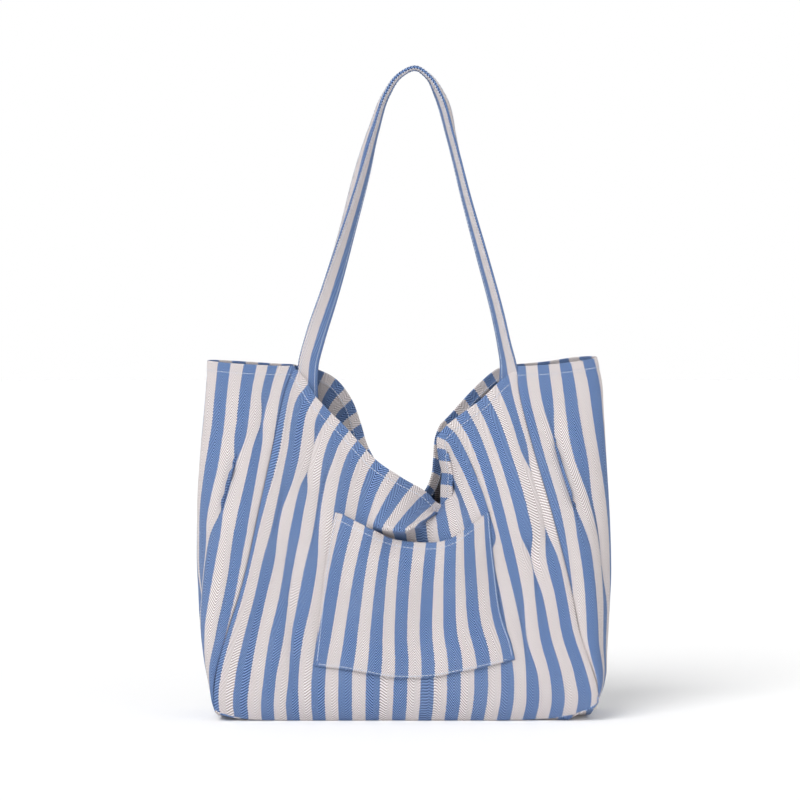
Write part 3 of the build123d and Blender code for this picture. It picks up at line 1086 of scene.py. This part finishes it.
def strap(sign, word):
    """One strap with its sewing, its ends reaching below the hem."""
    line, across, normal = strap_grid(sign)
    section = strap_section()
    count = len(section)
    points = line[:, None] + across[:, None] * section[None, :, :1]
    points = points + normal[:, None] * section[None, :, 1:]
    u = np.broadcast_to(STRAP_WIDTH / 2 + section[None, :, 0], points.shape[:2])
    uv = np.stack([u, np.broadcast_to(lengths(line)[:, None], u.shape)], axis=-1)
    faces = []
    for i in range(len(line) - 1):
        for j in range(count):
            k = (j + 1) % count
            a, b = i * count, (i + 1) * count
            faces.append((a + j, a + k, b + k, b + j))
    faces.append(tuple(range(count))[::-1])
    faces.append(tuple((len(line) - 1) * count + j for j in range(count)))
    item = mesh_object(word + "_handle", points.reshape(-1, 3), faces, uv.reshape(-1, 2) * MM)
    item.data.materials.append(strap_cloth)
    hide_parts(word + "_strap", word + "_strap_left_end", word + "_strap_right_end")
    seams = []
    for place in (-STRAP_WIDTH / 2 + STRAP_SEWING, STRAP_WIDTH / 2 - STRAP_SEWING):
        for out in (1, -1):
            top = line + across * place + normal * out * STRAP_THICK / 2 * 0.9
            seams.append((top, normal * out))
    sewing = stitched(word + "_handle_thread", seams)
    for piece in (item, sewing):
        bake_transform(piece)


strap(-1, "front")
strap(1, "back")


# ---------------- the snap between the hems

nickel = metal_material("snap_nickel", (0.62, 0.62, 0.64), 0.28)
washer = metal_material("snap_washers", (0.50, 0.50, 0.52), 0.38)
for material, nodes in (
    (nickel, ("snap_stud", "snap_socket")),
    (washer, ("front_snap_washer", "back_snap_washer")),
    (tape, ("front_snap_patch", "back_snap_patch")),
):
    for node in nodes:
        for slot in bpy.data.objects[node].material_slots:
            slot.material = material


# ---------------- floor, light and camera

PAPER, PAPER_SHADE = (0.985, 0.985, 0.985), (0.97, 0.97, 0.97)


def studio_floor():
    """A wide flat sheet of pale paper, so wide that its far edge isn't seen."""
    n = Nodes("studio_paper")
    place = n.object_place()
    colour = n.mix(n.times(n.noise(place, 3.0), 0.3), PAPER, PAPER_SHADE)
    n.shader.inputs["Emission Color"].default_value = (1, 1, 1, 1)
    n.shader.inputs["Emission Strength"].default_value = 0.035
    half, level = 6000, -0.05
    outline = [(-half, -half), (half, -half), (half, half), (-half, half)]
    item = mesh_object("studio_floor", [(x, y, level) for x, y in outline], [(0, 1, 2, 3)])
    item.data.materials.append(n.finish(colour, n.scaled(n.noise(place, 40.0), 0.1, 0.8)))


def placed(item, place, towards):
    """Puts a light or the camera at a place, looking along a direction."""
    bpy.context.scene.collection.objects.link(item)
    item.location = place
    item.rotation_euler = towards.to_track_quat("-Z", "Y").to_euler()


studio_floor()
sun = bpy.data.lights.new("sun", "SUN")
sun.energy = 2.0
sun.angle = radians(34)
placed(bpy.data.objects.new("sun", sun), (0, 0, 0), Vector((0.55, 0.95, -1.05)))
fill = bpy.data.lights.new("fill", "AREA")
fill.shape = "RECTANGLE"
fill.size, fill.size_y = 1.2, 1.2
fill.energy = 6
fill_place = Vector((2.0, -2.2, 1.5))
placed(bpy.data.objects.new("fill", fill), fill_place, Vector((0, 0, 0.25)) - fill_place)

# White surroundings, brighter near the horizon than above and below
scene = bpy.context.scene
world = bpy.data.worlds.new("studio")
world.use_nodes = True
nodes, link = world.node_tree.nodes, world.node_tree.links.new
direction = nodes.new("ShaderNodeTexCoord")
parts = nodes.new("ShaderNodeSeparateXYZ")
link(direction.outputs["Generated"], parts.inputs[0])
height = nodes.new("ShaderNodeMath")
height.operation = "ABSOLUTE"
link(parts.outputs[2], height.inputs[0])
gradient = nodes.new("ShaderNodeMapRange")
for name, value in (("From Min", 0.14), ("From Max", 0.36), ("To Min", 1.0), ("To Max", 0.55)):
    gradient.inputs[name].default_value = value
link(height.outputs[0], gradient.inputs["Value"])
background = nodes["Background"]
background.inputs[0].default_value = (1, 1, 1, 1)
link(gradient.outputs[0], background.inputs[1])
scene.world = world
scene.view_settings.view_transform = "Standard"
scene.view_settings.look = "None"

VIEW_SIDE, DISTANCE = 0.80, 4.0    # width of the view at the bag, and how far away, in metres
VIEW_UP = radians(3.5)        # how far the camera looks down
SENSOR = 36                   # the camera's own width, in its millimetres
target = Vector((-0.005, 0, 0.3165))
camera_data = bpy.data.cameras.new("camera")
camera_data.lens = SENSOR * DISTANCE / VIEW_SIDE
camera = bpy.data.objects.new("camera", camera_data)
away = Vector((0, -DISTANCE * cos(VIEW_UP), DISTANCE * sin(VIEW_UP)))
placed(camera, target + away, -away)
scene.camera = camera
